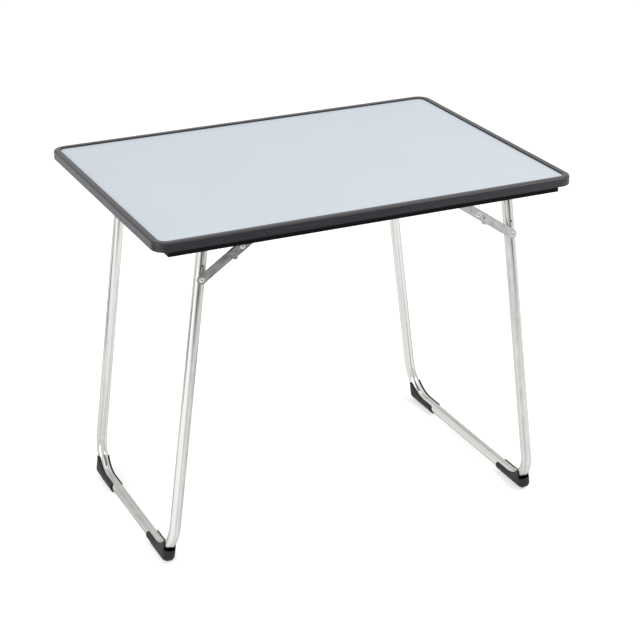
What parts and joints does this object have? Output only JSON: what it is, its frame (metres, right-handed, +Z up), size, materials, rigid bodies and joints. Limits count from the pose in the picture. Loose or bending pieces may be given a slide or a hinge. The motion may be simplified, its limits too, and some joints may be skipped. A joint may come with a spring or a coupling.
{
  "type": "folding camping table",
  "caption": "Rectangular folding camping table: pale laminated top in a dark edge band, two splayed U-tube leg frames with knee-jointed stays and moulded corner shoes.",
  "frame": {"origin": "on the floor, midway between the feet under the middle of the top", "axes": "+X along the long side towards the wide leg frame, +Y towards the back, +Z up"},
  "size_m": [0.8, 0.58, 0.658],
  "materials": {
    "panel": "satin laminate, pale blue-grey",
    "edge": "satin anthracite moulding",
    "rail": "matt black paint",
    "tube": "bright plated tube",
    "bracket": "zinc-plated sheet",
    "rivet": "bright zinc",
    "link": "zinc-plated sheet",
    "shoe": "matt black moulding"
  },
  "bodies": {
    "table_top": {"tabletop_panel": "panel", "edge_band": "edge", "front_rail": "rail", "rear_rail": "rail", "left_rail": "rail", "right_rail": "rail", "rail_screws": "rail", "left_front_leg_bracket": "bracket", "left_rear_leg_bracket": "bracket", "right_front_leg_bracket": "bracket", "right_rear_leg_bracket": "bracket", "left_front_stay_bracket": "bracket", "left_rear_stay_bracket": "bracket", "right_front_stay_bracket": "bracket", "right_rear_stay_bracket": "bracket", "bracket_screws": "rivet", "leg_pivot_rivets": "rivet", "stay_bracket_rivets": "rivet"},
    "left_leg": {"left_leg_frame": "tube", "left_leg_plugs": "shoe", "left_front_shoe": "shoe", "left_rear_shoe": "shoe", "left_shoe_screws": "rivet", "left_stay_rivets": "rivet"},
    "left_front_lower_stay": {"left_front_lower_link": "link", "left_front_knee_stud": "rivet"},
    "left_front_upper_stay": {"left_front_upper_link": "link", "left_front_knee_rivet": "rivet"},
    "left_rear_lower_stay": {"left_rear_lower_link": "link", "left_rear_knee_stud": "rivet"},
    "left_rear_upper_stay": {"left_rear_upper_link": "link", "left_rear_knee_rivet": "rivet"},
    "right_leg": {"right_leg_frame": "tube", "right_leg_plugs": "shoe", "right_front_shoe": "shoe", "right_rear_shoe": "shoe", "right_shoe_screws": "rivet", "right_stay_rivets": "rivet"},
    "right_front_lower_stay": {"right_front_lower_link": "link", "right_front_knee_stud": "rivet"},
    "right_front_upper_stay": {"right_front_upper_link": "link", "right_front_knee_rivet": "rivet"},
    "right_rear_lower_stay": {"right_rear_lower_link": "link", "right_rear_knee_stud": "rivet"},
    "right_rear_upper_stay": {"right_rear_upper_link": "link", "right_rear_knee_rivet": "rivet"}
  },
  "joints": [
    {"name": "left_leg_fold", "type": "hinge", "parent": "table_top", "child": "left_leg", "pos_m": [-0.2845, 0, 0.632], "axis": [0, -1, 0], "range_deg": [0, 97.61]},
    {"name": "left_front_lower_stay_turn", "type": "hinge", "parent": "left_leg", "child": "left_front_lower_stay", "pos_m": [-0.2951, -0.2174, 0.55271], "axis": [0, -1, 0], "range_deg": [-131, 0]},
    {"name": "left_front_upper_stay_turn", "type": "hinge", "parent": "table_top", "child": "left_front_upper_stay", "pos_m": [-0.172, -0.2219, 0.636], "axis": [0, -1, 0], "range_deg": [0, 143.3]},
    {"name": "left_rear_lower_stay_turn", "type": "hinge", "parent": "left_leg", "child": "left_rear_lower_stay", "pos_m": [-0.2951, 0.2174, 0.55271], "axis": [0, -1, 0], "range_deg": [-131, 0]},
    {"name": "left_rear_upper_stay_turn", "type": "hinge", "parent": "table_top", "child": "left_rear_upper_stay", "pos_m": [-0.172, 0.2219, 0.636], "axis": [0, -1, 0], "range_deg": [0, 143.3]},
    {"name": "right_leg_fold", "type": "hinge", "parent": "table_top", "child": "right_leg", "pos_m": [0.2845, 0, 0.632], "axis": [0, 1, 0], "range_deg": [0, 72]},
    {"name": "right_front_lower_stay_turn", "type": "hinge", "parent": "right_leg", "child": "right_front_lower_stay", "pos_m": [0.29396, -0.2554, 0.55256], "axis": [0, 1, 0], "range_deg": [-101, 0]},
    {"name": "right_front_upper_stay_turn", "type": "hinge", "parent": "table_top", "child": "right_front_upper_stay", "pos_m": [0.172, -0.2599, 0.636], "axis": [0, 1, 0], "range_deg": [0, 115.5]},
    {"name": "right_rear_lower_stay_turn", "type": "hinge", "parent": "right_leg", "child": "right_rear_lower_stay", "pos_m": [0.29396, 0.2554, 0.55256], "axis": [0, 1, 0], "range_deg": [-101, 0]},
    {"name": "right_rear_upper_stay_turn", "type": "hinge", "parent": "table_top", "child": "right_rear_upper_stay", "pos_m": [0.172, 0.2599, 0.636], "axis": [0, 1, 0], "range_deg": [0, 115.5]}
  ],
  "couplings": [
    {"joint": "left_front_lower_stay_turn", "follows": "left_leg_fold", "ratio": -1.3409},
    {"joint": "left_front_upper_stay_turn", "follows": "left_leg_fold", "ratio": 1.4674},
    {"joint": "left_rear_lower_stay_turn", "follows": "left_leg_fold", "ratio": -1.3409},
    {"joint": "left_rear_upper_stay_turn", "follows": "left_leg_fold", "ratio": 1.4674},
    {"joint": "right_front_lower_stay_turn", "follows": "right_leg_fold", "ratio": -1.402},
    {"joint": "right_front_upper_stay_turn", "follows": "right_leg_fold", "ratio": 1.6029},
    {"joint": "right_rear_lower_stay_turn", "follows": "right_leg_fold", "ratio": -1.402},
    {"joint": "right_rear_upper_stay_turn", "follows": "right_leg_fold", "ratio": 1.6029}
  ]
}
